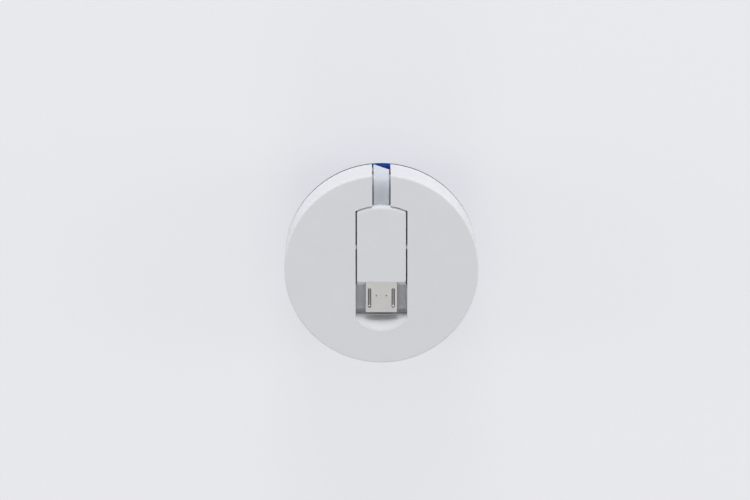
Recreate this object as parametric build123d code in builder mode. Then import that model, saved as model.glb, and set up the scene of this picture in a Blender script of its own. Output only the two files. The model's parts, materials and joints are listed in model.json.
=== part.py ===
from build123d import *
from math import acos, atan2, cos, degrees, hypot, pi, radians, sin, sqrt, tan
import os

# Retractable charging cable: a round case that lies on its back, face up.
# Z is the case axis, Z = 0 the back face, +Y the side where the front ribbon goes over the rim.

# Case
case_radius = 21.0
front_depth = 10.8
back_depth = 12.2
front_wall = 1.8
front_plate = 1.6
back_wall = 1.6
back_plate = 1.6
back_draft = 15.2
face_edge_radius = 0.4
back_edge_radius = 3.0
seam_edge_radius = 0.1
seam_groove_width = 0.45
seam_groove_depth = 0.5
lip_height = 0.8
lip_thickness = 0.5
fit_gap = 0.05

# Flat cable
ribbon_width = 3.4
ribbon_thickness = 0.9
ribbon_side_gap = 0.3
ribbon_back_gap = 0.2
ribbon_sink = 1.7
rim_sink = 0.2
bend_radius = 3.2
fold_gap = 0.05
fold_angle = 56.0
fold_rise = 0.45
strip_bend_radius = 8.0
strip_tail_angle = 22.0
strip_room = 9.0
fold_notch_width = 1.5
fold_notch_depth = 1.2

# Small plug and its recess in the front face
micro_body_width = 10.6
micro_body_length = 17.0
micro_body_thickness = 4.6
micro_arch_y = 14.1
micro_arch_radius = 13.0
micro_end_fillet = 0.8
micro_edge_fillet = 0.3
micro_corner_radius = 0.5
micro_shell_width = 6.85
micro_shell_height = 1.8
micro_shell_chamfer = 0.7
micro_shell_corner = 0.12
micro_shell_reach = 7.05
micro_shell_sink = 1.5
micro_shell_wall = 0.3
latch_slot_offset = 2.56
latch_slot_width = 0.7
latch_slot_length = 4.4
latch_slot_start = 1.0
latch_gap = 0.14
latch_hook_rise = 0.15
latch_hook_length = 0.4
latch_ramp_length = 1.1
crimp_dot_offset = 1.1
crimp_dot_start = 3.7
crimp_dot_radius = 0.14
micro_contact_count = 5
micro_contact_pitch = 0.65
micro_contact_width = 0.3
micro_contact_setback = 0.9
micro_tongue_setback = 0.6
contact_thickness = 0.1

# Wide plug and its recess in the back face
wide_body_width = 14.4
wide_body_length = 14.0
wide_body_thickness = 6.0
wide_arch_y = 14.1
wide_arch_radius = 16.0
wide_end_fillet = 1.3
wide_edge_fillet = 0.4
wide_corner_radius = 0.5
wide_sink = 0.2
wide_shell_width = 12.0
wide_shell_height = 4.5
wide_shell_reach = 12.0
wide_shell_wall = 0.35
wide_shell_corner = 0.7
wide_window_size = 2.2
wide_window_offset = 2.9
wide_window_start = 5.0
wide_contact_count = 4
wide_contact_pitch = 2.3
wide_contact_width = 1.1
wide_contact_setback = 1.05
wide_tongue_setback = 0.7
wide_tongue_side_gap = 0.7

# Ledge at the end of both plug bodies
ledge_length = 1.0
ledge_drop = 2.0

# Recesses
recess_gap = 0.3
recess_arch_gap = 0.12
recess_floor_gap = 0.2
recess_floor = 1.2
wide_recess_floor = 1.0
recess_wall = 1.0
shelf_gap = 0.4
shelf_clear = 0.25
trench_length = 1.2
scoop_clear = 0.95
scoop_reach = 2.95
scoop_floor_reach = 0.3
scoop_side_slope = 0.3
scoop_lip_run = 0.4
scoop_lip_drop = 0.15
recess_edge = 0.12
shell_seat = 3.0
strip_seat = 2.0
nub_rise = 0.2
nub_length = 0.7
nub_height = 1.2
nub_drop = 0.35
nub_y = 4.85

# Reel
reel_gap = 0.5
roll_clear = 1.0
flange_edge = 0.6
flange_thickness = 0.5
deck_play = 0.05
deck_shift = 0.4
drum_radius = 8.9
drum_wall = 0.9
web_thickness = 2.0
cover_thickness = 0.6
cover_ledge = 0.4
running_gap = 0.3
axle_radius = 2.4
axle_gap = 0.05

# Lock
ball_radius = 1.0
ball_orbit = 5.6
ball_travel = 0.5
ball_gap = 0.05
ball_notches = 3
ball_notch_radius = 0.5

# Mainspring
spring_thickness = 0.2
spring_inner_radius = 2.8
spring_pitch = 0.7
spring_half_turns = 13
spring_end_play = 0.4

# Centre screw
screw_radius = 0.8
screw_reach = 5.0
screw_head_radius = 1.7
screw_head_height = 0.9
screw_slot_length = 2.4
screw_slot_width = 0.5
screw_slot_depth = 0.4
screw_boss_radius = 3.4
screw_boss_height = 1.0
boss_gap = 0.2

# Levels and radii that follow
seam_z = back_depth
groove_z = seam_z - seam_groove_width
top_z = back_depth + front_depth
front_recess_depth = micro_body_thickness + recess_floor_gap
front_shelf_depth = micro_shell_sink + micro_shell_height + shelf_clear
front_floor_z = top_z - front_recess_depth
front_under_z = front_floor_z - recess_floor
back_recess_depth = wide_sink + wide_body_thickness + recess_floor_gap
back_under_z = back_recess_depth + wide_recess_floor
reel_top_z = front_under_z - reel_gap
reel_bottom_z = back_under_z + reel_gap
deck_height = ribbon_width + 2 * deck_play
deck_middle_z = (reel_bottom_z + reel_top_z) / 2 + deck_shift
deck_bottom_z = deck_middle_z - deck_height / 2
deck_top_z = deck_middle_z + deck_height / 2
web_z = reel_top_z - web_thickness
boss_top_z = back_under_z + screw_boss_height
case_inner_radius = case_radius - front_wall
slot_half = ribbon_width / 2 + ribbon_side_gap
lip_curve_radius = bend_radius - ribbon_thickness - ribbon_back_gap

# Where the ribbon turns over the rim, front and back
front_bend_y = case_radius - rim_sink - bend_radius
front_bend_z = top_z - ribbon_sink - bend_radius
back_bend_z = ribbon_sink + bend_radius
back_rim_radius = case_radius - (groove_z - back_bend_z) * tan(radians(back_draft))
back_bend_y = back_rim_radius - rim_sink - bend_radius

# The rolls stay clear of the strip that leaves for the narrower back rim
back_strip_y = back_rim_radius - rim_sink - 2 * ribbon_thickness - fold_gap
roll_radius = back_strip_y - roll_clear
roll_line_radius = roll_radius + running_gap + ribbon_thickness / 2
flange_radius = roll_radius + flange_edge


def plug_outline(width, arch_y, arch_radius, end_y):
    """Closed outline of a plug or its recess: an arched end, straight sides and a square end."""
    half = width / 2
    corner_y = arch_y - arch_radius + sqrt(arch_radius**2 - half**2)
    ThreePointArc((-half, corner_y), (0, arch_y), (half, corner_y))
    Polyline((half, corner_y), (half, end_y), (-half, end_y), (-half, corner_y))


def scoop_outline(half, start_y, reach):
    """Closed segment of a circle beyond start_y: the finger scoop at one level."""
    ThreePointArc((-half, start_y), (0, start_y - reach), (half, start_y))
    Line((half, start_y), (-half, start_y))


def write(piece, label):
    piece.part.label = label
    export_step(piece.part, f"parts/{label}.step")


os.makedirs("parts", exist_ok=True)

# Each face of the case has its own frame: x as in the case, y towards the rim where its ribbon leaves,
# and the normal outwards. The reel's deck has two frames turned the same way, at its middle.
front_face = Plane((0, 0, top_z))
back_face = Plane((0, 0, 0), x_dir=(1, 0, 0), z_dir=(0, 0, -1))
front_deck = Plane((0, 0, deck_middle_z))
back_deck = Plane((0, 0, deck_middle_z), x_dir=(1, 0, 0), z_dir=(0, 0, -1))


def lengthwise(frame):
    """Plane across x = 0 of a frame, with the frame's y and normal as its own x and y."""
    return Plane(frame.origin, x_dir=frame.y_dir, z_dir=frame.x_dir)


def crosswise(frame, y):
    """Plane at a given y of a frame, facing the plug's tip."""
    return Plane(frame.from_local_coords((0, y, 0)), x_dir=frame.x_dir, z_dir=-frame.y_dir)


# Ends of the two plugs, measured along their face's y
micro_end_y = micro_arch_y - micro_body_length
micro_tip_y = micro_end_y - micro_shell_reach
wide_end_y = wide_arch_y - wide_body_length
wide_tip_y = wide_end_y - wide_shell_reach
micro_shell_z = -micro_shell_sink - micro_shell_height / 2
wide_shell_z = -wide_sink - wide_body_thickness / 2
ribbon_z = -ribbon_sink - ribbon_thickness / 2


def recess_block(frame, width, arch_y, arch_radius, scoop_y, rim_y, top, depth):
    """Walls and floor round a plug recess, from top down to depth below the face."""
    half = width / 2 + recess_wall
    with BuildPart() as block:
        with BuildSketch(frame.offset(-depth)):
            with BuildLine():
                plug_outline(2 * half, arch_y + recess_wall, arch_radius + recess_wall, scoop_y)
            make_face()
            with BuildLine():
                scoop_outline(half, scoop_y, scoop_reach + recess_wall)
            make_face()
            with Locations((0, rim_y / 2)):
                Rectangle(2 * (slot_half + recess_wall), rim_y)
        extrude(amount=depth - top)
    return block.part


def recess_cut(frame, width, arch_y, arch_radius, shelf_y, scoop_y, depth, shelf_depth):
    """The plug's own hollow: deep for its body, a shelf under its metal shell, a trench below the tip, and
    a finger scoop that slopes up to a soft lip at the face."""
    half = width / 2
    with BuildPart() as hollow:
        with BuildSketch(frame.offset(-depth)):
            with BuildLine():
                plug_outline(width, arch_y, arch_radius, shelf_y)
            make_face()
        extrude(amount=depth)
        with BuildSketch(frame.offset(-shelf_depth)):
            with Locations((0, (shelf_y + scoop_y) / 2)):
                Rectangle(width, shelf_y - scoop_y)
        extrude(amount=shelf_depth)
        with BuildSketch(frame.offset(-depth)):
            with Locations((0, scoop_y + trench_length / 2)):
                Rectangle(width, trench_length)
        extrude(amount=depth)
        lip_reach = scoop_reach - scoop_lip_run
        for level, reach in (0, scoop_reach), (scoop_lip_drop, lip_reach), (shelf_depth, scoop_floor_reach):
            with BuildSketch(frame.offset(-level)):
                with BuildLine():
                    scoop_outline(half - scoop_side_slope * level / shelf_depth, scoop_y, reach)
                make_face()
        loft(ruled=True)
        # Broken edge along the face, up to the scoop
        with BuildSketch(frame.offset(-recess_edge)):
            with BuildLine():
                plug_outline(width, arch_y, arch_radius, scoop_y)
            make_face()
        extrude(amount=recess_edge, taper=-45)
    return hollow.part


def rim_slot_cut(frame, start_y, bend_y, bend_depth, far_depth):
    """Ribbon groove in the face and slot in the rim, with the rounded lip left between them."""
    lip_y = bend_y + lip_curve_radius
    lip_z = lip_curve_radius - bend_depth
    arc_share = lip_curve_radius * sin(radians(45))
    beyond = case_radius + front_wall
    with BuildPart() as slot:
        with BuildSketch(lengthwise(frame)):
            with BuildLine():
                Polyline(
                    (bend_y, lip_z), (start_y, lip_z), (start_y, front_wall), (beyond, front_wall),
                    (beyond, -far_depth), (lip_y, -far_depth), (lip_y, -bend_depth),
                )
                ThreePointArc(
                    (lip_y, -bend_depth), (bend_y + arc_share, arc_share - bend_depth), (bend_y, lip_z)
                )
            make_face()
        extrude(amount=slot_half, both=True)
        with BuildSketch(frame.offset(-recess_edge)):
            with Locations((0, (start_y + beyond) / 2)):
                Rectangle(2 * slot_half, beyond - start_y)
        extrude(amount=recess_edge, taper=-45)
    return slot.part


micro_recess_width = micro_body_width + 2 * recess_gap
micro_scoop_y = micro_tip_y - scoop_clear
micro_recess_arch = micro_arch_y + recess_arch_gap
wide_recess_width = wide_body_width + 2 * recess_gap
wide_scoop_y = wide_tip_y - scoop_clear
wide_recess_arch = wide_arch_y + recess_arch_gap
front_strip_y = front_bend_y + bend_radius - ribbon_thickness - fold_gap
relief_radius = hypot(ribbon_width / 2, front_strip_y) + ribbon_back_gap
lip_inner_radius = case_radius - back_wall
lip_outer_radius = lip_inner_radius + lip_thickness

front_block = recess_block(
    front_face, micro_recess_width, micro_recess_arch, micro_arch_radius + recess_gap, micro_scoop_y,
    (case_inner_radius + case_radius) / 2, front_plate, top_z - front_under_z,
)
front_hollow = recess_cut(
    front_face, micro_recess_width, micro_recess_arch, micro_arch_radius + recess_gap,
    micro_end_y - ledge_length - shelf_gap, micro_scoop_y, front_recess_depth, front_shelf_depth,
)
front_slot = rim_slot_cut(
    front_face, micro_arch_y - recess_wall, front_bend_y, top_z - front_bend_z, front_depth + front_wall
)

# Front shell: the white drum with the face, the recess, the axle post and the ball's guide
with BuildPart() as front_shell:
    with BuildSketch(Plane.XY.offset(seam_z)):
        Circle(case_radius)
    extrude(amount=front_depth)
    fillet(front_shell.edges().group_by(Axis.Z)[-1], face_edge_radius)
    fillet(front_shell.edges().group_by(Axis.Z)[0], seam_edge_radius)
    with BuildSketch(Plane.XY.offset(seam_z)):
        Circle(case_inner_radius)
    extrude(amount=front_depth - front_plate, mode=Mode.SUBTRACT)
    add(front_block)
    with BuildSketch(Plane.XY.offset(boss_top_z)):
        Circle(axle_radius)
    extrude(amount=front_under_z - boss_top_z)
    add(front_hollow, mode=Mode.SUBTRACT)
    add(front_slot, mode=Mode.SUBTRACT)
    # Room for the strip on its way to the fold
    with BuildSketch(Plane.XY.offset(seam_z)):
        Circle(relief_radius)
        with Locations(((slot_half - strip_room) / 2, relief_radius / 2)):
            Rectangle(slot_half + strip_room, relief_radius, mode=Mode.INTERSECT)
    extrude(amount=front_under_z - seam_z, mode=Mode.SUBTRACT)
    # Rebate for the back shell's lip
    with BuildSketch(Plane.XY.offset(seam_z)):
        Circle(lip_outer_radius + fit_gap)
        Circle(case_inner_radius, mode=Mode.SUBTRACT)
    extrude(amount=lip_height + fit_gap, mode=Mode.SUBTRACT)
    # Bore for the screw and slit for the spring's inner end
    with BuildSketch(Plane.XY.offset(boss_top_z)):
        Circle(screw_radius + fit_gap)
    extrude(amount=screw_reach + fit_gap, mode=Mode.SUBTRACT)
    slit_depth = axle_radius - screw_radius - 2 * spring_thickness
    with BuildSketch(Plane.XY.offset(boss_top_z)):
        with Locations((axle_radius - slit_depth / 2 + fit_gap, 0)):
            Rectangle(slit_depth + 2 * fit_gap, spring_thickness + 2 * fit_gap)
    extrude(amount=web_z - boss_top_z, mode=Mode.SUBTRACT)
    # Guide slot for the lock ball in the underside of the recess floor
    with BuildSketch(Plane.XY.offset(front_under_z)):
        with Locations((0, -ball_orbit)):
            SlotCenterToCenter(2 * ball_travel, 2 * (ball_radius + ball_gap), rotation=90)
    extrude(amount=ball_radius + ball_gap - reel_gap / 2, mode=Mode.SUBTRACT)
    # Snap nubs on the recess walls that hold the plug
    with Locations(
        (micro_recess_width / 2 - nub_rise / 2, nub_y, top_z - nub_drop - nub_height / 2),
        (nub_rise / 2 - micro_recess_width / 2, nub_y, top_z - nub_drop - nub_height / 2),
    ):
        Box(nub_rise, nub_length, nub_height)
write(front_shell, "front_shell")

back_block = recess_block(
    back_face, wide_recess_width, wide_recess_arch, wide_arch_radius + recess_gap, wide_scoop_y,
    back_bend_y + lip_curve_radius, back_plate, back_under_z,
)
back_hollow = recess_cut(
    back_face, wide_recess_width, wide_recess_arch, wide_arch_radius + recess_gap,
    wide_end_y - ledge_length - shelf_gap, wide_scoop_y, back_recess_depth, back_recess_depth,
)
back_slot = rim_slot_cut(
    back_face, wide_arch_y - recess_wall, back_bend_y, back_bend_z, back_depth + front_wall
)
draft_slope = tan(radians(back_draft))
rest_radius = case_radius - groove_z * draft_slope
back_inner_radius = case_radius - back_wall
neck_radius = case_radius - seam_groove_depth

# Back shell: the blue tapered back with the groove along the seam, the wide plug's recess and the screw boss
with BuildPart() as back_shell:
    with BuildSketch(Plane.XZ):
        with BuildLine():
            Polyline(
                (0, 0), (rest_radius, 0), (case_radius, groove_z), (neck_radius, groove_z),
                (neck_radius, seam_z), (0, seam_z), close=True,
            )
        make_face()
        fillet(vertices().sort_by(Axis.X)[-1], seam_edge_radius)
        fillet(vertices().group_by(Axis.Y)[0].sort_by(Axis.X)[-1], back_edge_radius)
    revolve(axis=Axis.Z)
    with BuildSketch(Plane.XZ):
        with BuildLine():
            Polyline(
                (0, back_plate), (back_inner_radius - (seam_z - back_plate) * draft_slope, back_plate),
                (back_inner_radius, seam_z), (0, seam_z), close=True,
            )
        make_face()
    revolve(axis=Axis.Z, mode=Mode.SUBTRACT)
    add(back_block)
    with BuildSketch(Plane.XY.offset(back_under_z)):
        Circle(screw_boss_radius)
    extrude(amount=screw_boss_height)
    # Lip that centres the front shell
    with BuildSketch(Plane.XY.offset(seam_z)):
        Circle(lip_outer_radius)
        Circle(lip_inner_radius, mode=Mode.SUBTRACT)
        with Locations(((slot_half + recess_wall - strip_room) / 2, case_radius / 2)):
            Rectangle(slot_half + recess_wall + strip_room, case_radius, mode=Mode.SUBTRACT)
    extrude(amount=lip_height)
    add(back_hollow, mode=Mode.SUBTRACT)
    add(back_slot, mode=Mode.SUBTRACT)
    # Room for the front ribbon's strip, and a notch in the rim for the corner of its fold
    with BuildSketch(Plane.XY.offset(seam_z)):
        Circle(relief_radius)
        with Locations(((fold_notch_width - slot_half - strip_room) / 2, relief_radius / 2)):
            Rectangle(strip_room - slot_half + fold_notch_width, relief_radius, mode=Mode.INTERSECT)
    extrude(amount=deck_bottom_z - ribbon_side_gap - seam_z, mode=Mode.SUBTRACT)
    with BuildSketch(Plane.XY.offset(seam_z)):
        with Locations((fold_notch_width / 2 - slot_half, case_radius)):
            Rectangle(fold_notch_width, 2 * back_wall)
    extrude(amount=-fold_notch_depth, mode=Mode.SUBTRACT)
    # Screw hole with a seat for the head
    with Locations(back_face.offset(-back_recess_depth)):
        CounterBoreHole(
            screw_radius + fit_gap, screw_head_radius + 2 * fit_gap, screw_head_height + 2 * fit_gap,
            depth=boss_top_z,
        )
write(back_shell, "back_shell")

# Centre screw, driven from the wide plug's recess into the axle post
screw_seat_z = back_recess_depth + screw_head_height + 2 * fit_gap
with BuildPart() as centre_screw:
    with BuildSketch(Plane.XY.offset(screw_seat_z - screw_head_height)):
        Circle(screw_head_radius)
    extrude(amount=screw_head_height)
    with BuildSketch(Plane.XY.offset(screw_seat_z)):
        Circle(screw_radius)
    extrude(amount=boss_top_z + screw_reach - screw_seat_z)
    with BuildSketch(Plane.XY.offset(screw_seat_z - screw_head_height)):
        Rectangle(screw_slot_length, screw_slot_width)
        Rectangle(screw_slot_width, screw_slot_length)
    extrude(amount=screw_slot_depth, mode=Mode.SUBTRACT)
write(centre_screw, "centre_screw")

# Reel: a deck where both ribbons wind, a drum for the spring and a web with the lock ball's track
drum_inner_radius = drum_radius - drum_wall
cover_seat_radius = drum_inner_radius + cover_ledge
track_inner_radius = ball_orbit - ball_radius - ball_travel - ball_gap
track_outer_radius = ball_orbit + ball_radius + ball_travel + ball_gap
track_depth = ball_radius + ball_gap - reel_gap / 2
spring_outer_x = spring_inner_radius + (spring_half_turns - 1) * spring_pitch / 2
with BuildPart() as reel_spool:
    with BuildSketch(Plane.XZ):
        with BuildLine():
            Polyline(
                (axle_radius + axle_gap, web_z), (axle_radius + axle_gap, reel_top_z),
                (drum_radius, reel_top_z), (drum_radius, deck_top_z + flange_thickness),
                (flange_radius, deck_top_z + flange_thickness), (flange_radius, deck_top_z),
                (drum_radius, deck_top_z), (drum_radius, deck_bottom_z),
                (flange_radius, deck_bottom_z), (flange_radius, deck_bottom_z - flange_thickness),
                (drum_radius, deck_bottom_z - flange_thickness), (drum_radius, reel_bottom_z),
                (cover_seat_radius, reel_bottom_z), (cover_seat_radius, reel_bottom_z + cover_thickness),
                (drum_inner_radius, reel_bottom_z + cover_thickness), (drum_inner_radius, web_z),
                close=True,
            )
        make_face()
    revolve(axis=Axis.Z)
    with BuildSketch(Plane.XY.offset(reel_top_z)):
        Circle(track_outer_radius)
        with PolarLocations(track_outer_radius, ball_notches):
            Circle(ball_notch_radius)
        Circle(track_inner_radius, mode=Mode.SUBTRACT)
    extrude(amount=-track_depth, mode=Mode.SUBTRACT)
    # Notch that takes the outer end of the spring
    notch_depth = drum_wall / 2
    with BuildSketch(Plane.XY.offset(reel_bottom_z + cover_thickness)):
        with Locations((-drum_inner_radius, 0)):
            Rectangle(2 * notch_depth, spring_thickness + 2 * fit_gap)
    extrude(amount=web_z - reel_bottom_z - cover_thickness, mode=Mode.SUBTRACT)
write(reel_spool, "reel_spool")

with BuildPart() as spring_cover:
    with BuildSketch(Plane.XY.offset(reel_bottom_z)):
        Circle(cover_seat_radius - fit_gap)
        Circle(screw_boss_radius + boss_gap, mode=Mode.SUBTRACT)
    extrude(amount=cover_thickness)
write(spring_cover, "spring_cover")

# The two ribbons, wound together on the deck
with BuildPart() as ribbon_roll:
    with BuildSketch(Plane.XY.offset(deck_bottom_z + deck_play)):
        Circle(roll_radius)
        Circle(drum_radius + deck_play, mode=Mode.SUBTRACT)
    extrude(amount=ribbon_width)
write(ribbon_roll, "ribbon_roll")

# Mainspring: a flat spiral of half turns, with an inner end in the post and an outer end in the drum
spring_z = reel_bottom_z + cover_thickness + spring_end_play
with BuildPart() as mainspring:
    with BuildSketch(Plane.XY.offset(spring_z)):
        with BuildLine():
            for turn in range(spring_half_turns):
                centre_x = spring_pitch / 2 * (turn % 2)
                CenterArc((centre_x, 0), spring_inner_radius + turn * spring_pitch / 2, 180 * (turn % 2), 180)
        trace(line_width=spring_thickness)
        inner_reach = spring_inner_radius - axle_radius + slit_depth - fit_gap
        with Locations((spring_inner_radius - inner_reach / 2 + spring_thickness / 2, 0)):
            Rectangle(inner_reach + spring_thickness, spring_thickness)
        outer_reach = drum_inner_radius + notch_depth - fit_gap - spring_outer_x
        with Locations((-spring_outer_x - outer_reach / 2 + spring_thickness / 2, 0)):
            Rectangle(outer_reach + spring_thickness, spring_thickness)
    extrude(amount=web_z - spring_end_play - spring_z)
write(mainspring, "mainspring")

with BuildPart() as lock_ball:
    with Locations((0, -ball_orbit, (reel_top_z + front_under_z) / 2)):
        Sphere(ball_radius)
write(lock_ball, "lock_ball")


def ribbon_exit(deck, bend_y, rise):
    """Ribbon from the roll to the rim: a tail round the roll, a bend, a diagonal fold and the rim strip."""
    half = ribbon_width / 2
    outer_y = bend_y + bend_radius
    inner_y = outer_y - ribbon_thickness
    strip_y = inner_y - fold_gap - ribbon_thickness / 2
    # The fold line in the upright plane, and the way the strip climbs to it
    slant = radians(fold_angle)
    climb = 2 * slant - pi / 2
    fold_middle_radius = (ribbon_thickness + fold_gap) / 2
    fold_outer_radius = fold_middle_radius + ribbon_thickness / 2
    fold_x = -pi * fold_middle_radius * sin(slant)
    fold_start = -(half + fold_x) / cos(slant)
    fold_end = (half - fold_x - fold_outer_radius * sin(slant)) / cos(slant)
    # The straight stretch touches the roll's circle and the strip's bend circle
    bend_x = -half
    bend_centre_y = strip_y - strip_bend_radius
    centre_angle = degrees(atan2(bend_centre_y, bend_x))
    radius_drop = roll_line_radius - strip_bend_radius
    touch_angle = centre_angle + degrees(acos(radius_drop / hypot(bend_x, bend_centre_y)))
    touch_x = cos(radians(touch_angle))
    touch_y = sin(radians(touch_angle))
    beyond = 2 * ribbon_width
    upright = Plane(deck.origin, x_dir=deck.x_dir, z_dir=-deck.y_dir)
    along_fold = deck.x_dir * cos(slant) + deck.z_dir * sin(slant)
    fold_origin = deck.from_local_coords(
        (fold_x + fold_start * cos(slant), inner_y - fold_gap / 2, fold_rise + fold_start * sin(slant))
    )
    with BuildPart() as strip:
        with BuildSketch(deck.offset(-half)):
            with BuildLine():
                CenterArc((0, 0), roll_line_radius, touch_angle + strip_tail_angle, -strip_tail_angle)
                Line(
                    (roll_line_radius * touch_x, roll_line_radius * touch_y),
                    (bend_x + strip_bend_radius * touch_x, bend_centre_y + strip_bend_radius * touch_y),
                )
                CenterArc((bend_x, bend_centre_y), strip_bend_radius, touch_angle, 90 - touch_angle)
                Line((bend_x, strip_y), (fold_x, strip_y))
            trace(line_width=ribbon_thickness)
        extrude(amount=ribbon_width)
        # The strip climbs to the fold and ends along it
        with BuildSketch(upright.offset(fold_gap - inner_y)):
            with BuildLine():
                PolarLine((fold_x, fold_rise), -fold_rise / sin(climb), degrees(climb))
                PolarLine((fold_x, fold_rise), beyond, degrees(climb))
            trace(line_width=ribbon_width)
        extrude(amount=ribbon_thickness)
        with BuildSketch(upright.offset(-outer_y)):
            with Locations(Location((fold_x, fold_rise), fold_angle)):
                with Locations((0, -beyond / 2)):
                    Rectangle(2 * beyond, beyond)
        extrude(amount=outer_y - bend_centre_y, mode=Mode.SUBTRACT)
        # The round edge of the fold
        with BuildSketch(Plane(fold_origin, x_dir=deck.y_dir, z_dir=along_fold)):
            Circle(fold_outer_radius)
            with Locations((0, fold_outer_radius)):
                Rectangle(2 * fold_outer_radius, 2 * fold_outer_radius, mode=Mode.SUBTRACT)
        extrude(amount=fold_end - fold_start)
        # The strip on the rim, from the fold to the bend
        with BuildSketch(upright.offset(-outer_y)):
            with BuildLine():
                Polyline(
                    (-half, fold_rise - (half + fold_x) * tan(slant)),
                    (half, fold_rise + (half - fold_x) * tan(slant)),
                    (half, rise), (-half, rise), close=True,
                )
            make_face()
        extrude(amount=ribbon_thickness)
    return strip


def ribbon_bend(frame, bend_y, bend_depth):
    """Quarter turn of the ribbon over the lip of the rim slot."""
    with BuildPart() as quarter:
        with BuildSketch(lengthwise(frame)):
            with BuildLine():
                CenterArc((bend_y, -bend_depth), bend_radius - ribbon_thickness / 2, 0, 90)
            trace(line_width=ribbon_thickness)
        extrude(amount=ribbon_width / 2, both=True)
    return quarter


def ribbon_run(frame, arch_y, bend_y):
    """Straight ribbon in the face groove, seated in the plug's round end."""
    start_y = arch_y - strip_seat
    with BuildPart() as run:
        with BuildSketch(crosswise(frame, bend_y)):
            with Locations((0, ribbon_z)):
                Rectangle(ribbon_width, ribbon_thickness)
        extrude(amount=bend_y - start_y)
    return run


front_rise = front_bend_z - front_deck.origin.Z
back_rise = back_deck.origin.Z - back_bend_z
write(ribbon_exit(front_deck, front_bend_y, front_rise), "front_ribbon_exit")
# Both ribbons leave the roll as it turns the same way, so the back one is of the other hand
with BuildPart() as back_ribbon_exit:
    add(ribbon_exit(back_deck, back_bend_y, back_rise))
    mirror(about=Plane.YZ, mode=Mode.REPLACE)
write(back_ribbon_exit, "back_ribbon_exit")
write(ribbon_bend(front_face, front_bend_y, top_z - front_bend_z), "front_ribbon_bend")
write(ribbon_bend(back_face, back_bend_y, back_bend_z), "back_ribbon_bend")
write(ribbon_run(front_face, micro_arch_y, front_bend_y), "front_ribbon_run")
write(ribbon_run(back_face, wide_arch_y, back_bend_y), "back_ribbon_run")


def plug_body(frame, width, arch_y, arch_radius, end_y, top, thickness, fillets, mouth):
    """Overmould with an arched end, a mouth for its metal shell and a seat for the ribbon."""
    mouth_width, mouth_height, mouth_z = mouth
    end_fillet, edge_fillet, corner_radius = fillets
    with BuildPart() as body:
        with BuildSketch(frame.offset(top - thickness)):
            with BuildLine():
                plug_outline(width, arch_y, arch_radius, end_y)
            make_face()
        extrude(amount=thickness)
        corners = body.edges().filter_by(Axis.Z).sort_by(Axis(frame.origin, frame.y_dir))
        fillet(corners[:2], corner_radius)
        fillet(body.edges().filter_by(GeomType.CIRCLE).sort_by(SortBy.RADIUS)[-2:], end_fillet)
        across = body.edges().filter_by(Axis.X).sort_by(Axis(frame.origin, frame.y_dir))[:2]
        fillet(body.edges().filter_by(Axis.Y) + across, edge_fillet)
        # Ledge under and beside the metal shell
        ledge_height = thickness - ledge_drop - edge_fillet
        with BuildSketch(crosswise(frame, end_y + corner_radius)):
            with Locations((0, top - ledge_drop - ledge_height / 2)):
                Rectangle(width, ledge_height)
        extrude(amount=corner_radius + ledge_length)
        with BuildSketch(crosswise(frame, end_y + shell_seat)):
            with Locations((0, mouth_z)):
                Rectangle(mouth_width + 2 * fit_gap, mouth_height + 2 * fit_gap)
        extrude(amount=2 * shell_seat, mode=Mode.SUBTRACT)
        with BuildSketch(crosswise(frame, arch_y + strip_seat)):
            with Locations((0, ribbon_z)):
                Rectangle(ribbon_width + 2 * fit_gap, ribbon_thickness + 2 * fit_gap)
        extrude(amount=2 * strip_seat, mode=Mode.SUBTRACT)
    return body


write(
    plug_body(
        front_face, micro_body_width, micro_arch_y, micro_arch_radius, micro_end_y, 0, micro_body_thickness,
        (micro_end_fillet, micro_edge_fillet, micro_corner_radius),
        (micro_shell_width, micro_shell_height, micro_shell_z),
    ),
    "micro_plug_body",
)
write(
    plug_body(
        back_face, wide_body_width, wide_arch_y, wide_arch_radius, wide_end_y, -wide_sink,
        wide_body_thickness,
        (wide_end_fillet, wide_edge_fillet, wide_corner_radius),
        (wide_shell_width, wide_shell_height, wide_shell_z),
    ),
    "wide_plug_body",
)


# Metal shell of the small plug: a folded tube with two chamfered corners, latch slots and crimp dots
micro_tail_y = micro_end_y + shell_seat
micro_inner_height = micro_shell_height - 2 * micro_shell_wall
micro_top_z = micro_shell_z + micro_shell_height / 2
with BuildPart() as micro_shell:
    with BuildSketch(crosswise(front_face, micro_tail_y)):
        with Locations((0, micro_shell_z)):
            Rectangle(micro_shell_width, micro_shell_height)
        chamfer(vertices().group_by(Axis.Y)[0], micro_shell_chamfer)
        fillet(vertices().group_by(Axis.Y)[-1], micro_shell_corner)
        offset(amount=-micro_shell_wall, mode=Mode.SUBTRACT)
    extrude(amount=micro_tail_y - micro_tip_y)
    with BuildSketch(front_face.offset(micro_shell_z)):
        with Locations((-latch_slot_offset, micro_tip_y + latch_slot_start + latch_slot_length / 2),
                       (latch_slot_offset, micro_tip_y + latch_slot_start + latch_slot_length / 2)):
            SlotOverall(latch_slot_length, latch_slot_width, rotation=90)
        with Locations((-crimp_dot_offset, micro_tip_y + crimp_dot_start),
                       (crimp_dot_offset, micro_tip_y + crimp_dot_start)):
            Circle(crimp_dot_radius)
    extrude(amount=micro_shell_height, mode=Mode.SUBTRACT)
write(micro_shell, "micro_shell")

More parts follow.
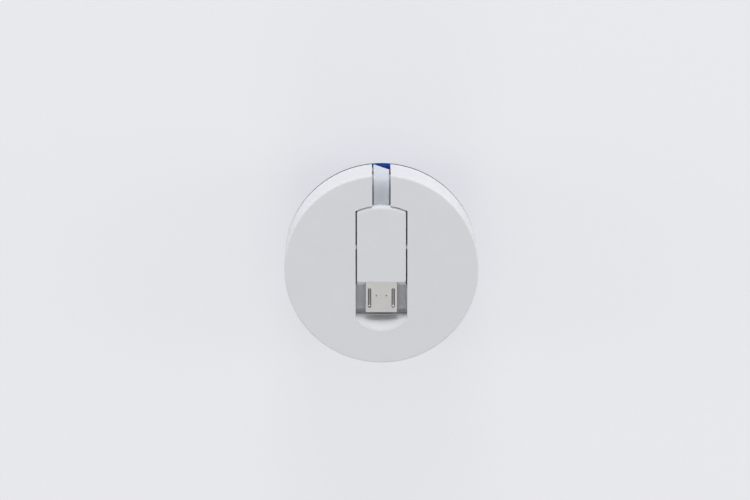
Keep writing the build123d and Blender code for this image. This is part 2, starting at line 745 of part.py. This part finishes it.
# Insulator inside it: a block at the tail and a tongue along the narrow side
micro_floor_z = micro_shell_z - micro_inner_height / 2
micro_tongue_height = micro_inner_height / 2
micro_tongue_width = micro_shell_width - 2 * micro_shell_wall - 2 * micro_shell_chamfer
with BuildPart() as micro_insulator:
    with BuildSketch(crosswise(front_face, micro_tail_y)):
        with Locations((0, micro_shell_z)):
            Rectangle(micro_tongue_width, micro_inner_height - 2 * fit_gap)
    extrude(amount=shell_seat)
    with BuildSketch(crosswise(front_face, micro_tail_y)):
        with Locations((0, micro_floor_z + fit_gap + micro_tongue_height / 2)):
            Rectangle(micro_tongue_width, micro_tongue_height)
    extrude(amount=micro_tail_y - micro_tip_y - micro_tongue_setback)
write(micro_insulator, "micro_insulator")

with BuildPart() as micro_contacts:
    contact_top = micro_floor_z + fit_gap + micro_tongue_height
    with BuildSketch(front_face.offset(contact_top)):
        with Locations((0, (micro_end_y + micro_tip_y + micro_contact_setback) / 2)):
            with GridLocations(micro_contact_pitch, 0, micro_contact_count, 1):
                Rectangle(micro_contact_width, micro_shell_reach - micro_contact_setback)
    extrude(amount=contact_thickness)
write(micro_contacts, "micro_contacts")

# Two latch springs under the slots, each with a hook that stands through its slot
latch_width = latch_slot_width - 2 * latch_gap
latch_thickness = spring_thickness
latch_root_y = micro_end_y - fit_gap
latch_hook_y = micro_tip_y + latch_slot_start + 2 * latch_gap
latch_under_z = micro_top_z - micro_shell_wall - latch_thickness - fit_gap
with BuildPart() as micro_latches:
    for side in (-1, 1):
        with BuildSketch(lengthwise(front_face).offset(side * latch_slot_offset - latch_width / 2)):
            with BuildLine():
                Polyline(
                    (latch_root_y, latch_under_z),
                    (latch_root_y, latch_under_z + latch_thickness),
                    (latch_hook_y + latch_hook_length + latch_ramp_length, latch_under_z + latch_thickness),
                    (latch_hook_y + latch_hook_length, micro_top_z + latch_hook_rise),
                    (latch_hook_y, micro_top_z),
                    (latch_hook_y, latch_under_z),
                    close=True,
                )
            make_face()
        extrude(amount=latch_width)
write(micro_latches, "micro_latches")

# Metal shell of the wide plug: a folded tube with two square windows in each broad side
wide_tail_y = wide_end_y + shell_seat
wide_inner_width = wide_shell_width - 2 * wide_shell_wall
wide_inner_height = wide_shell_height - 2 * wide_shell_wall
with BuildPart() as wide_shell:
    with BuildSketch(crosswise(back_face, wide_tail_y)):
        with Locations((0, wide_shell_z)):
            Rectangle(wide_shell_width, wide_shell_height)
        fillet(vertices(), wide_shell_corner)
        offset(amount=-wide_shell_wall, mode=Mode.SUBTRACT)
    extrude(amount=wide_tail_y - wide_tip_y)
    with BuildSketch(back_face.offset(wide_shell_z - wide_shell_height)):
        with Locations((0, wide_tip_y + wide_window_start + wide_window_size / 2)):
            with GridLocations(2 * wide_window_offset, 0, 2, 1):
                Rectangle(wide_window_size, wide_window_size)
    extrude(amount=2 * wide_shell_height, mode=Mode.SUBTRACT)
write(wide_shell, "wide_shell")

# Its tongue, with a block at the tail, and the four contacts on it
wide_floor_z = wide_shell_z - wide_inner_height / 2
wide_tongue_height = wide_inner_height / 2
wide_tongue_width = wide_inner_width - 2 * wide_tongue_side_gap
with BuildPart() as wide_tongue:
    with BuildSketch(crosswise(back_face, wide_tail_y)):
        with Locations((0, wide_shell_z)):
            Rectangle(wide_tongue_width, wide_inner_height - 2 * fit_gap)
    extrude(amount=shell_seat)
    with BuildSketch(crosswise(back_face, wide_tail_y)):
        with Locations((0, wide_floor_z + fit_gap + wide_tongue_height / 2)):
            Rectangle(wide_tongue_width, wide_tongue_height)
    extrude(amount=wide_tail_y - wide_tip_y - wide_tongue_setback)
write(wide_tongue, "wide_tongue")

with BuildPart() as wide_contacts:
    with BuildSketch(back_face.offset(wide_floor_z + fit_gap + wide_tongue_height)):
        with Locations((0, (wide_end_y + wide_tip_y + wide_contact_setback) / 2)):
            with GridLocations(wide_contact_pitch, 0, wide_contact_count, 1):
                Rectangle(wide_contact_width, wide_shell_reach - wide_contact_setback)
    extrude(amount=contact_thickness)
write(wide_contacts, "wide_contacts")
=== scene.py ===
import json
from math import acos, atan2, cos, hypot, pi, radians, sin, sqrt, tan

import bmesh
import bpy
from mathutils import Matrix, Vector


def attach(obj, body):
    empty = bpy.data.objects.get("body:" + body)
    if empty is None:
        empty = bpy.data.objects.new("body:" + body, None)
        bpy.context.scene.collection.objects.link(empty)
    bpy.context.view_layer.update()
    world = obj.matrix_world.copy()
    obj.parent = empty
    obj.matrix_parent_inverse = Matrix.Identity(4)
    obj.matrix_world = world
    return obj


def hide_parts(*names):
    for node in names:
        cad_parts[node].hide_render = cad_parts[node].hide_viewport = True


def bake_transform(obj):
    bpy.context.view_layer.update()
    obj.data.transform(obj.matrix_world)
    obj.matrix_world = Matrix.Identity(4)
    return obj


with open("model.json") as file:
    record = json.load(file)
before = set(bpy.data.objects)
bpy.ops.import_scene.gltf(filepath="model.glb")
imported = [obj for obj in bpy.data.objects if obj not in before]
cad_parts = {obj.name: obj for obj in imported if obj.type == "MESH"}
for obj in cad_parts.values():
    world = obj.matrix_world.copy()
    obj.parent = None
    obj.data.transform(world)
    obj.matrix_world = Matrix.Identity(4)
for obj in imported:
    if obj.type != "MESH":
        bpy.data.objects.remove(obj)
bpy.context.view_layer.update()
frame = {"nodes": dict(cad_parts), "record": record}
nodes = frame["nodes"]

# Lengths are in millimetres, and become metres where a mesh, mask, relief, lamp or camera is made.
MM = 0.001

# Case
CASE_RADIUS = 21.0
TOP = 23.0
SEAM = 12.2
SEAM_GROOVE = 0.45
SLOT_HALF = 2.0
SLOT_EDGE = 0.05
BACK_DRAFT = radians(15.2)

# Ribbon: its section, and how it lies in the faces and over the rim
RIBBON_WIDTH = 3.4
RIBBON_THICKNESS = 0.9
RIBBON_CORNER = 0.16
RIBBON_SINK = 1.7
RIM_SINK = 0.2
BEND_RADIUS = 3.2
PLUG_SEAT_Y = 12.2

# Diagonal fold in the rim slot
FOLD_GAP = 0.05
FOLD_ANGLE = radians(56)
FOLD_RISE = 0.45
CLIMB = 2 * FOLD_ANGLE - pi / 2

# Strip that settles from the fold to the level of the reel's deck, and runs on to the roll
DECK_Z = 12.6
SETTLE_X = -1.9
SETTLE_LENGTH = 5.0
STRIP_BEND = 8.0
STRIP_BEND_X = -1.7
ROLL_LINE_DROP = 2.3
TAIL_TURN = radians(20)

# Where the ribbon turns over the rim, front and back, and the line on which it lies on the roll
FRONT_BEND_Y = CASE_RADIUS - RIM_SINK - BEND_RADIUS
FRONT_BEND_Z = TOP - RIBBON_SINK - BEND_RADIUS
BACK_BEND_Z = RIBBON_SINK + BEND_RADIUS
BACK_RIM_RADIUS = CASE_RADIUS - (SEAM - SEAM_GROOVE - BACK_BEND_Z) * tan(BACK_DRAFT)
BACK_BEND_Y = BACK_RIM_RADIUS - RIM_SINK - BEND_RADIUS
ROLL_LINE_RADIUS = BACK_RIM_RADIUS - ROLL_LINE_DROP

# Ribbon meshes: steps round the section and along it, and how far before the bend the flexible part starts
CORNER_STEPS = 5
FLAT_STEPS = 20
COARSE_STEP = 0.6
FINE_STEP = 0.12
FINE_FROM = -4.0
FLEX_START = 0.4
SHARP_EDGE = radians(60)

# Colours
WHITE = (0.68, 0.685, 0.705)
BLUE = (0.021, 0.068, 0.34)
# Near-black tone painted along the seam as shade in the groove
PAINTED_SHADE_TONE = (0.012, 0.013, 0.016)

# Painted shade along the seam, for each shell: its edge at the groove, how far above that edge the painted shade
# starts and is full, and how much of the shell's own colour it covers
PAINTED_SEAM_SHADE = {
    "blue_case": (SEAM - SEAM_GROOVE, -0.35, -0.1, 1.0),
    "white_case": (SEAM, 0.45, 0.1, 0.9),
}

# Floor and sky
FLOOR_SIZE = 3000.0
FLOOR_GAP = 0.02
FLOOR_TONE = (0.82, 0.825, 0.85)
FLOOR_ROUGHNESS = 0.6
FLOOR_EVEN_SHARE = 0.7
SKY_TONE = (0.97, 0.98, 1.0)
SKY_LEVEL = 0.48
BACKDROP_LEVEL = 0.85

# Camera
VIEW_TILT = radians(14.9)
VIEW_YAW = radians(-0.44)
VIEW_DISTANCE = 900.0
VIEW_REACH = 20000.0
MM_PER_PIXEL = 0.216
FRAME_WIDTH = 750
FRAME_HEIGHT = 500
FACE_PIXEL = (381.45, 269.6)
SENSOR = 36.0


def link(name, data):
    """Object in the scene from a mesh, lamp or camera."""
    piece = bpy.data.objects.new(name, data)
    bpy.context.scene.collection.objects.link(piece)
    return piece


def mesh_piece(name, points, faces):
    """Object from points in millimetres and faces, smooth up to a sharp edge, with its normals outwards."""
    mesh = bpy.data.meshes.new(name)
    mesh.from_pydata([[value * MM for value in point] for point in points], [], faces)
    shape = bmesh.new()
    shape.from_mesh(mesh)
    bmesh.ops.recalc_face_normals(shape, faces=shape.faces)
    shape.to_mesh(mesh)
    shape.free()
    mesh.shade_smooth()
    mesh.set_sharp_from_angle(angle=SHARP_EDGE)
    return link(name, mesh)


def sweep(name, stations):
    """Closed tube through rings of equal length, with a flat cap at each end."""
    count = len(stations[0])
    points = [point for ring in stations for point in ring]
    faces = []
    for level in range(len(stations) - 1):
        low = level * count
        high = low + count
        for step in range(count):
            ahead = (step + 1) % count
            faces.append((low + step, low + ahead, high + ahead, high + step))
    faces.append(tuple(range(count)))
    faces.append(tuple(range(len(points) - count, len(points))))
    return mesh_piece(name, points, faces)


# Materials

def new_material(name, color, roughness, metallic=0.0):
    material = bpy.data.materials.new(name)
    material.use_nodes = True
    shader = material.node_tree.nodes["Principled BSDF"]
    shader.inputs["Base Color"].default_value = (*color, 1)
    shader.inputs["Roughness"].default_value = roughness
    shader.inputs["Metallic"].default_value = metallic
    return material, material.node_tree, shader


def scaled(color, factor):
    return tuple(min(1, value * factor) for value in color)


def add_noise(tree, scale, detail, stretch=(1, 1, 1)):
    """Noise in the object's own coordinates, with a stretch along each axis."""
    place = tree.nodes.new("ShaderNodeTexCoord")
    mapping = tree.nodes.new("ShaderNodeMapping")
    mapping.inputs["Scale"].default_value = stretch
    noise = tree.nodes.new("ShaderNodeTexNoise")
    noise.inputs["Scale"].default_value = scale
    noise.inputs["Detail"].default_value = detail
    tree.links.new(place.outputs["Object"], mapping.inputs["Vector"])
    tree.links.new(mapping.outputs["Vector"], noise.inputs["Vector"])
    return noise.outputs["Fac"]


def vary(tree, source, target, low, high, start=0.0, end=1.0):
    """Maps a source that runs from start to end onto the range from low to high of a target."""
    spread = tree.nodes.new("ShaderNodeMapRange")
    spread.inputs["From Min"].default_value = start
    spread.inputs["From Max"].default_value = end
    spread.inputs["To Min"].default_value = low
    spread.inputs["To Max"].default_value = high
    tree.links.new(source, spread.inputs["Value"])
    tree.links.new(spread.outputs["Result"], target)


def tint(tree, source, target, dark, light):
    """Mixes two near colours by a 0 to 1 source."""
    mix = tree.nodes.new("ShaderNodeMix")
    mix.data_type = "RGBA"
    mix.inputs["A"].default_value = (*dark, 1)
    mix.inputs["B"].default_value = (*light, 1)
    tree.links.new(source, mix.inputs["Factor"])
    tree.links.new(mix.outputs["Result"], target)


def bump(tree, source, shader, height):
    """Fine relief of a height in millimetres."""
    relief = tree.nodes.new("ShaderNodeBump")
    relief.inputs["Strength"].default_value = 1.0
    relief.inputs["Distance"].default_value = height * MM
    tree.links.new(source, relief.inputs["Height"])
    tree.links.new(relief.outputs["Normal"], shader.inputs["Normal"])


def moulded_plastic(name, color, roughness, grain=0.004, contrast=0.03, gloss=0.5):
    """Moulded plastic with a fine spark-eroded grain and a faint cloud in its colour."""
    material, tree, shader = new_material(name, color, roughness)
    shader.inputs["Specular IOR Level"].default_value = gloss
    cloud = add_noise(tree, scale=160, detail=3)
    tint(tree, cloud, shader.inputs["Base Color"], scaled(color, 1 - contrast), scaled(color, 1 + contrast))
    fine = add_noise(tree, scale=5200, detail=2)
    vary(tree, fine, shader.inputs["Roughness"], low=roughness - 0.05, high=roughness + 0.07)
    bump(tree, fine, shader, grain)
    return material


def paint_seam_shade(material, start, end, share):
    """Painted shade along the seam, which grows from the level start to the level end, clear of the slots."""
    tree = material.node_tree
    color = tree.nodes["Principled BSDF"].inputs["Base Color"]
    place = tree.nodes.new("ShaderNodeTexCoord")
    split = tree.nodes.new("ShaderNodeSeparateXYZ")
    aside = tree.nodes.new("ShaderNodeMath")
    aside.operation = "ABSOLUTE"
    clear = tree.nodes.new("ShaderNodeMath")
    clear.operation = "GREATER_THAN"
    clear.inputs[1].default_value = (SLOT_HALF + SLOT_EDGE) * MM
    amount = tree.nodes.new("ShaderNodeMath")
    amount.operation = "MULTIPLY"
    mix = tree.nodes.new("ShaderNodeMix")
    mix.data_type = "RGBA"
    mix.inputs["B"].default_value = (*PAINTED_SHADE_TONE, 1)
    tree.links.new(place.outputs["Object"], split.inputs["Vector"])
    tree.links.new(split.outputs["X"], aside.inputs[0])
    tree.links.new(aside.outputs["Value"], clear.inputs[0])
    tree.links.new(clear.outputs["Value"], amount.inputs[0])
    vary(tree, split.outputs["Z"], amount.inputs[1], low=0, high=share, start=start * MM, end=end * MM)
    tree.links.new(amount.outputs["Value"], mix.inputs["Factor"])
    tree.links.new(color.links[0].from_socket, mix.inputs["A"])
    tree.links.new(mix.outputs["Result"], color)


def brushed_metal(name, color, roughness, stretch=(9, 1, 9)):
    """Plated sheet metal with fine lines, along Y unless the stretch is even, and slight stains."""
    material, tree, shader = new_material(name, color, roughness, metallic=1.0)
    shader.inputs["Anisotropic"].default_value = 0.4
    lines = add_noise(tree, scale=900, detail=6, stretch=stretch)
    stain = add_noise(tree, scale=420, detail=4)
    vary(tree, lines, shader.inputs["Roughness"], low=roughness - 0.07, high=roughness + 0.12)
    tint(tree, stain, shader.inputs["Base Color"], scaled(color, 0.88), color)
    bump(tree, lines, shader, height=0.003)
    return material


def soft_jacket(name, color):
    """Soft cable jacket with a satin skin and a faint cloud in its colour."""
    material, tree, shader = new_material(name, color, roughness=0.48)
    cloud = add_noise(tree, scale=500, detail=4)
    tint(tree, cloud, shader.inputs["Base Color"], scaled(color, 0.95), color)
    fine = add_noise(tree, scale=3500, detail=3)
    vary(tree, fine, shader.inputs["Roughness"], low=0.42, high=0.58)
    bump(tree, fine, shader, height=0.004)
    return material


EVEN = (1, 1, 1)
MATERIALS = {
    "white_case": moulded_plastic("white_case", WHITE, roughness=0.55, gloss=0.3),
    "white_plug": moulded_plastic("white_plug", WHITE, roughness=0.55, grain=0.002, gloss=0.3),
    "blue_case": moulded_plastic("blue_case", BLUE, roughness=0.55, contrast=0.08, gloss=0.2),
    "plug_metal": brushed_metal("plug_metal", (0.66, 0.645, 0.618), roughness=0.30),
    "spring_steel": brushed_metal("spring_steel", (0.28, 0.28, 0.285), roughness=0.34),
    "screw_steel": brushed_metal("screw_steel", (0.55, 0.55, 0.54), roughness=0.32, stretch=EVEN),
    "gold_contact": brushed_metal("gold_contact", (0.82, 0.58, 0.22), roughness=0.25),
    "dark_insulator": moulded_plastic(
        "dark_insulator", (0.02, 0.02, 0.022), roughness=0.5, grain=0.003, contrast=0.1,
    ),
    "white_insulator": moulded_plastic("white_insulator", (0.72, 0.72, 0.70), roughness=0.45),
    "reel_plastic": moulded_plastic("reel_plastic", (0.42, 0.43, 0.45), roughness=0.5),
    "ribbon_jacket": soft_jacket("ribbon_jacket", (0.59, 0.625, 0.68)),
    "ball_steel": brushed_metal("ball_steel", (0.70, 0.70, 0.72), roughness=0.12, stretch=EVEN),
}
# Paint the seam groove's shade into both shells' colours
for shell, (edge, start, end, share) in PAINTED_SEAM_SHADE.items():
    paint_seam_shade(MATERIALS[shell], edge + start, edge + end, share)


def dress(piece, slot):
    piece.data.materials.clear()
    piece.data.materials.append(MATERIALS[slot])


for subpart in frame["record"]["subparts"]:
    dress(nodes[subpart["node"]], subpart["material_slot"])


# Ribbons: one flat cable on each side, folded over once in the rim slot

def ribbon_section():
    """Rounded rectangle of (across, through) points, through positive on the side inside the fold."""
    half_width = RIBBON_WIDTH / 2 - RIBBON_CORNER
    half_depth = RIBBON_THICKNESS / 2 - RIBBON_CORNER
    section = []
    for side, level, quarter in ((1, 1, 0), (-1, 1, 1), (-1, -1, 2), (1, -1, 3)):
        for step in range(CORNER_STEPS + 1):
            angle = pi / 2 * (quarter + step / CORNER_STEPS)
            section.append((
                side * half_width + RIBBON_CORNER * cos(angle),
                level * half_depth + RIBBON_CORNER * sin(angle),
            ))
        # Points across the flat that follows, so that the fold can curve it
        if side == level:
            for step in range(1, FLAT_STEPS):
                across = side * half_width * (1 - 2 * step / FLAT_STEPS)
                section.append((across, level * RIBBON_THICKNESS / 2))
    return section


class RibbonRoute:
    """Places points of a flat cable: along from the fold, across it and through its thickness."""

    def __init__(self, bend_y, rise, facing):
        """The rim bend's centre, its height from the deck, and 1 for the front ribbon or -1 for the back one."""
        self.bend_y = bend_y
        self.rise = rise
        self.facing = facing
        self.fold_radius = (RIBBON_THICKNESS + FOLD_GAP) / 2
        self.fold_x = -pi * self.fold_radius * sin(FOLD_ANGLE)
        # Middle of the strip, which lies behind the layer that goes up the rim
        self.strip_y = bend_y + BEND_RADIUS - 1.5 * RIBBON_THICKNESS - FOLD_GAP
        self.middle_bend = BEND_RADIUS - RIBBON_THICKNESS / 2
        self.bend_start = rise - FOLD_RISE + pi * self.fold_radius * cos(FOLD_ANGLE)
        self.bend_end = self.bend_start + pi / 2 * self.middle_bend
        # Straight stretch that touches the strip's bend and the roll
        reach = hypot(STRIP_BEND_X, self.strip_y - STRIP_BEND)
        drop = ROLL_LINE_RADIUS - STRIP_BEND
        self.turn = atan2(-STRIP_BEND_X, self.strip_y - STRIP_BEND) + acos(drop / reach)
        self.straight = sqrt(reach**2 - drop**2)
        tail = STRIP_BEND * self.turn + self.straight + ROLL_LINE_RADIUS * TAIL_TURN
        self.start = (STRIP_BEND_X - tail - self.fold_x) / cos(CLIMB)

    def folded(self, along, across, through):
        """Point of the flat strip as it climbs, turns over the round edge and goes up the rim."""
        tangent = along * sin(FOLD_ANGLE) + across * cos(FOLD_ANGLE)
        normal = along * cos(FOLD_ANGLE) - across * sin(FOLD_ANGLE)
        radius = self.fold_radius
        if normal <= 0:
            beyond, out = normal, through
        elif normal < pi * radius:
            beyond = (radius - through) * sin(normal / radius)
            out = radius - (radius - through) * cos(normal / radius)
        else:
            beyond, out = pi * radius - normal, 2 * radius - through
        x = self.fold_x + tangent * cos(FOLD_ANGLE) + beyond * sin(FOLD_ANGLE)
        z = FOLD_RISE + tangent * sin(FOLD_ANGLE) - beyond * cos(FOLD_ANGLE)
        return x, out, z

    def settle(self, x, z):
        """Brings the climbing strip down to the deck's level on its way back to the roll."""
        share = min(max((SETTLE_X - x) / SETTLE_LENGTH, 0), 1)
        if share == 0:
            return z
        climb = tan(CLIMB)
        level = FOLD_RISE + (x - self.fold_x) * climb
        first = FOLD_RISE + (SETTLE_X - self.fold_x) * climb
        # Smooth curve from the climb's height and slope to a level run
        middle = first * (1 - 3 * share**2 + 2 * share**3)
        middle -= climb * SETTLE_LENGTH * (share - 2 * share**2 + share**3)
        return middle + (z - level) * (1 - (1 - cos(CLIMB)) * share)

    def plan(self, x, out):
        """Bends the strip, seen from above, so that it leaves the roll as a tangent."""
        back = STRIP_BEND_X - x
        if back <= 0:
            return x, self.strip_y + out
        rest = back - STRIP_BEND * self.turn - self.straight
        if rest > 0:
            angle = self.turn + rest / ROLL_LINE_RADIUS
            return -(ROLL_LINE_RADIUS + out) * sin(angle), (ROLL_LINE_RADIUS + out) * cos(angle)
        angle = min(back / STRIP_BEND, self.turn)
        straight = max(back - STRIP_BEND * self.turn, 0)
        bent_x = STRIP_BEND_X - (STRIP_BEND + out) * sin(angle) - straight * cos(angle)
        bent_y = self.strip_y - STRIP_BEND + (STRIP_BEND + out) * cos(angle) - straight * sin(angle)
        return bent_x, bent_y

    def local(self, along, across, through):
        """Point of the front ribbon, with its height from the deck: in the fold, the rim bend or the face."""
        if along < self.bend_start:
            x, out, z = self.folded(along, across, through)
            return *self.plan(x, out), self.settle(x, z)
        radius = self.middle_bend - through
        if along < self.bend_end:
            angle = (along - self.bend_start) / self.middle_bend
            return across, self.bend_y + radius * cos(angle), self.rise + radius * sin(angle)
        return across, self.bend_y - along + self.bend_end, self.rise + radius

    def place(self, along, across, through):
        """Point in the case. The back ribbon is the front one turned over, and of the other hand."""
        x, y, z = self.local(along, across, through)
        return self.facing * x, self.facing * y, DECK_Z + self.facing * z

    def piece(self, name, start, end):
        """Mesh of the ribbon between two lengths along it, in finer steps from the fold on."""
        section = ribbon_section()
        along = start
        stations = []
        while along < end:
            stations.append([self.place(along, across, through) for across, through in section])
            along += COARSE_STEP if along < FINE_FROM else FINE_STEP
        stations.append([self.place(end, across, through) for across, through in section])
        return sweep(name, stations)


def make_ribbon(side, route):
    """The part that stays in the case, and the part from just before the rim bend over the face to the plug."""
    cut = route.bend_start - FLEX_START
    strip = route.piece(f"{side}_ribbon_strip", route.start, cut)
    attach(strip, "case")
    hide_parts(f"{side}_ribbon_exit")
    run = route.bend_y - PLUG_SEAT_Y
    flex = route.piece(f"{side}_ribbon_flex", cut, route.bend_end + run)
    rim = Vector(route.place(route.bend_start, 0, 0)) * MM
    face = Vector(route.place(route.bend_end, 0, 0)) * MM
    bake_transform(flex)
    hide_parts(f"{side}_ribbon_bend", f"{side}_ribbon_run")
    for piece in (strip, flex):
        dress(piece, "ribbon_jacket")


make_ribbon("front", RibbonRoute(FRONT_BEND_Y, FRONT_BEND_Z - DECK_Z, 1))
make_ribbon("back", RibbonRoute(BACK_BEND_Y, DECK_Z - BACK_BEND_Z, -1))


# Stage, light and camera

def seen_rays(tree):
    """1 for rays from the camera, or from a glossy or clear surface, and 0 for light that is scattered."""
    path = tree.nodes.new("ShaderNodeLightPath")
    seen = path.outputs["Is Camera Ray"]
    for ray in ("Is Glossy Ray", "Is Transmission Ray"):
        either = tree.nodes.new("ShaderNodeMath")
        either.operation = "MAXIMUM"
        tree.links.new(seen, either.inputs[0])
        tree.links.new(path.outputs[ray], either.inputs[1])
        seen = either.outputs["Value"]
    return seen


def add_floor():
    half = FLOOR_SIZE / 2
    corners = ((-half, -half), (half, -half), (half, half), (-half, half))
    floor = mesh_piece("floor", [(x, y, -FLOOR_GAP) for x, y in corners], [(0, 1, 2, 3)])
    material, tree, shader = new_material("floor", FLOOR_TONE, FLOOR_ROUGHNESS)
    # Seen directly or in a reflection, the floor is partly of its own even tone, so its shadows are soft
    even = tree.nodes.new("ShaderNodeEmission")
    even.inputs["Color"].default_value = (*FLOOR_TONE, 1)
    mix = tree.nodes.new("ShaderNodeMixShader")
    vary(tree, seen_rays(tree), mix.inputs["Fac"], low=0, high=FLOOR_EVEN_SHARE)
    tree.links.new(shader.outputs["BSDF"], mix.inputs[1])
    tree.links.new(even.outputs["Emission"], mix.inputs[2])
    tree.links.new(mix.outputs["Shader"], tree.nodes["Material Output"].inputs["Surface"])
    floor.data.materials.append(material)


def add_lamp(name, place, size, level):
    """Square soft lamp that gives level times the light of a white sky where it is square on."""
    data = bpy.data.lights.new(name, "AREA")
    data.shape = "SQUARE"
    data.size = size * MM
    target = Vector((0, 0, SEAM))
    offset = Vector(place) - target
    data.energy = level * pi**2 * (offset.length * MM) ** 2
    lamp = link(name, data)
    lamp.location = Vector(place) * MM
    lamp.rotation_euler = offset.to_track_quat("Z", "Y").to_euler()


def add_world():
    """Even sky, which shows as the pale backdrop where it is seen or mirrored."""
    world = bpy.data.worlds.new("sky")
    world.use_nodes = True
    tree = world.node_tree
    sky = tree.nodes["Background"]
    sky.inputs["Color"].default_value = (*SKY_TONE, 1)
    vary(tree, seen_rays(tree), sky.inputs["Strength"], low=SKY_LEVEL, high=BACKDROP_LEVEL)
    bpy.context.scene.world = world


def add_camera():
    """Camera at the photograph's angle, with the face's centre on its pixel."""
    toward = Vector((sin(VIEW_YAW), sin(VIEW_TILT), cos(VIEW_TILT))).normalized()
    face = Vector((0, 0, TOP))
    place = face + toward * VIEW_DISTANCE
    right = (FRAME_WIDTH / 2 - FACE_PIXEL[0]) * MM_PER_PIXEL
    up = (FACE_PIXEL[1] - FRAME_HEIGHT / 2) * MM_PER_PIXEL / cos(VIEW_TILT)
    aim = face + Vector((right, up, 0))
    back = (place - aim).normalized()
    across = Vector((0, 1, 0)).cross(back).normalized()
    above = back.cross(across)
    data = bpy.data.cameras.new("camera")
    data.sensor_width = SENSOR
    data.lens = SENSOR * VIEW_DISTANCE / (FRAME_WIDTH * MM_PER_PIXEL)
    data.clip_end = VIEW_REACH * MM
    camera = link("camera", data)
    camera.matrix_world = Matrix((
        (across.x, above.x, back.x, place.x * MM),
        (across.y, above.y, back.y, place.y * MM),
        (across.z, above.z, back.z, place.z * MM),
        (0, 0, 0, 1),
    ))
    bpy.context.scene.camera = camera


add_floor()
add_world()
add_lamp("key", place=(0, 700, 250), size=300, level=0.52)
add_lamp("left", place=(-600, 60, 250), size=260, level=0.26)
add_lamp("right", place=(600, 60, 250), size=260, level=0.31)
add_lamp("front", place=(0, -600, 300), size=260, level=0.22)
add_camera()
bpy.context.scene.view_settings.view_transform = "Standard"
